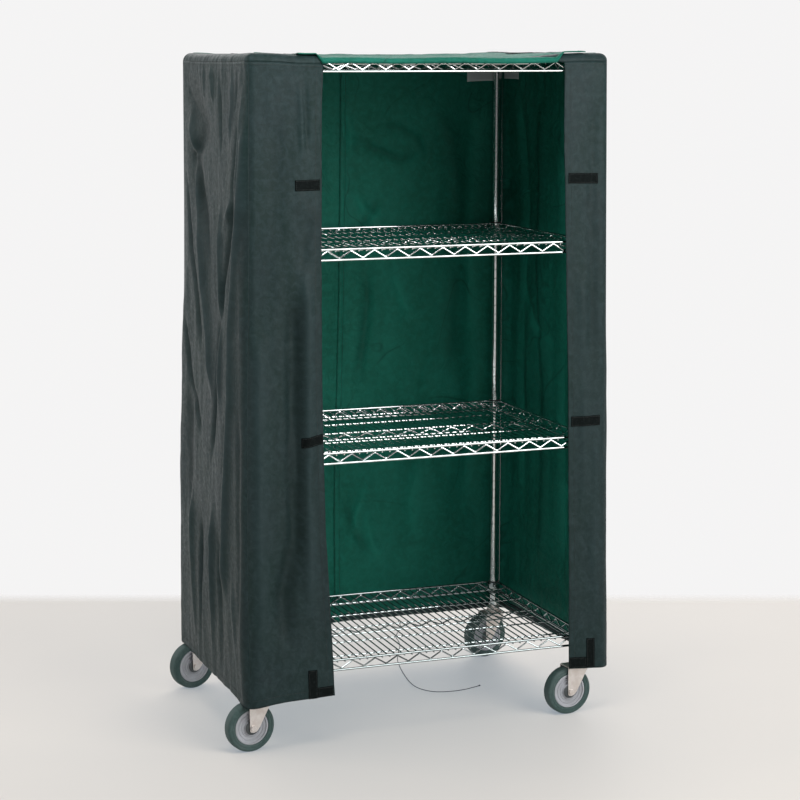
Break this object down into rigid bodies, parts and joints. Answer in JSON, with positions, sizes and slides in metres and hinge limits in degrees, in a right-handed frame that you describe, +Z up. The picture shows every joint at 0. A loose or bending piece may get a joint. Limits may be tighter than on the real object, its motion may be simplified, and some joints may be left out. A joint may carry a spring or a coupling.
{
  "type": "covered wire rack cart",
  "caption": "Mobile wire shelving rack on swivel casters, dressed in a fitted cloth cover whose front panel is thrown back over the roof.",
  "frame": {"origin": "middle of the standing cart's bounding box, on the floor under the casters", "axes": "+X to the right seen from the open front, +Y from the open front to the back, +Z up"},
  "size_m": [1.0346, 0.6346, 1.735],
  "materials": {
    "chromed_wire": "bright plated round wire, slightly softened",
    "post_chrome": "bright plated tube with a groove every inch",
    "sleeve_plastic": "black moulded plastic",
    "cap_plastic": "black moulded plastic",
    "zinc_steel": "zinc plated pressed steel, satin",
    "wheel_plastic": "light grey moulded wheel centre",
    "tyre_rubber": "dark grey-green non-marking rubber",
    "cover_cloth": "coated nylon, charcoal outside and forest green inside, satin",
    "hook_tape": "black hook and loop tape",
    "cord_twine": "thin dark grey twine"
  },
  "bodies": {
    "cart": {"shelf_bottom": "chromed_wire", "sleeve_bottom_front_left": "sleeve_plastic", "sleeve_bottom_front_right": "sleeve_plastic", "sleeve_bottom_rear_left": "sleeve_plastic", "sleeve_bottom_rear_right": "sleeve_plastic", "shelf_lower": "chromed_wire", "sleeve_lower_front_left": "sleeve_plastic", "sleeve_lower_front_right": "sleeve_plastic", "sleeve_lower_rear_left": "sleeve_plastic", "sleeve_lower_rear_right": "sleeve_plastic", "shelf_upper": "chromed_wire", "sleeve_upper_front_left": "sleeve_plastic", "sleeve_upper_front_right": "sleeve_plastic", "sleeve_upper_rear_left": "sleeve_plastic", "sleeve_upper_rear_right": "sleeve_plastic", "shelf_top": "chromed_wire", "sleeve_top_front_left": "sleeve_plastic", "sleeve_top_front_right": "sleeve_plastic", "sleeve_top_rear_left": "sleeve_plastic", "sleeve_top_rear_right": "sleeve_plastic", "post_front_left": "post_chrome", "post_cap_front_left": "cap_plastic", "caster_stem_front_left": "zinc_steel", "post_front_right": "post_chrome", "post_cap_front_right": "cap_plastic", "caster_stem_front_right": "zinc_steel", "post_rear_left": "post_chrome", "post_cap_rear_left": "cap_plastic", "caster_stem_rear_left": "zinc_steel", "post_rear_right": "post_chrome", "post_cap_rear_right": "cap_plastic", "caster_stem_rear_right": "zinc_steel", "cover_left_side": "cover_cloth", "cover_right_side": "cover_cloth", "cover_back": "cover_cloth", "cover_left_flap": "cover_cloth", "cover_right_flap": "cover_cloth", "cover_roof": "cover_cloth", "cover_front_panel": "cover_cloth", "hook_tab_left_upper": "hook_tape", "hook_tab_left_lower": "hook_tape", "hook_tab_right_upper": "hook_tape", "hook_tab_right_lower": "hook_tape", "hem_cord": "cord_twine"},
    "swivel_front_left": {"caster_fork_front_left": "zinc_steel", "axle_bolt_front_left": "zinc_steel"},
    "wheel_front_left": {"wheel_core_front_left": "wheel_plastic", "tyre_front_left": "tyre_rubber"},
    "swivel_front_right": {"caster_fork_front_right": "zinc_steel", "axle_bolt_front_right": "zinc_steel"},
    "wheel_front_right": {"wheel_core_front_right": "wheel_plastic", "tyre_front_right": "tyre_rubber"},
    "swivel_rear_left": {"caster_fork_rear_left": "zinc_steel", "axle_bolt_rear_left": "zinc_steel"},
    "wheel_rear_left": {"wheel_core_rear_left": "wheel_plastic", "tyre_rear_left": "tyre_rubber"},
    "swivel_rear_right": {"caster_fork_rear_right": "zinc_steel", "axle_bolt_rear_right": "zinc_steel"},
    "wheel_rear_right": {"wheel_core_rear_right": "wheel_plastic", "tyre_rear_right": "tyre_rubber"}
  },
  "joints": [
    {"name": "caster_swivel_front_left", "type": "hinge", "parent": "cart", "child": "swivel_front_left", "pos_m": [-0.42494, -0.28423, 0.132], "axis": [0, 0, 1], "continuous": true},
    {"name": "wheel_spin_front_left", "type": "hinge", "parent": "swivel_front_left", "child": "wheel_front_left", "pos_m": [-0.45329, -0.28872, 0.0635], "axis": [-0.1564, 0.9877, 0], "continuous": true},
    {"name": "caster_swivel_front_right", "type": "hinge", "parent": "cart", "child": "swivel_front_right", "pos_m": [0.45146, -0.28423, 0.132], "axis": [0, 0, 1], "continuous": true},
    {"name": "wheel_spin_front_right", "type": "hinge", "parent": "swivel_front_right", "child": "wheel_front_right", "pos_m": [0.42287, -0.28673, 0.0635], "axis": [-0.0872, 0.9962, 0], "continuous": true},
    {"name": "caster_swivel_rear_left", "type": "hinge", "parent": "cart", "child": "swivel_rear_left", "pos_m": [-0.42494, 0.28737, 0.132], "axis": [0, 0, 1], "continuous": true},
    {"name": "wheel_spin_rear_left", "type": "hinge", "parent": "swivel_rear_left", "child": "wheel_rear_left", "pos_m": [-0.45279, 0.28043, 0.0635], "axis": [-0.2419, 0.9703, 0], "continuous": true},
    {"name": "caster_swivel_rear_right", "type": "hinge", "parent": "cart", "child": "swivel_rear_right", "pos_m": [0.45146, 0.28737, 0.132], "axis": [0, 0, 1], "continuous": true},
    {"name": "wheel_spin_rear_right", "type": "hinge", "parent": "swivel_rear_right", "child": "wheel_rear_right", "pos_m": [0.42319, 0.28239, 0.0635], "axis": [-0.1736, 0.9848, 0], "continuous": true}
  ]
}
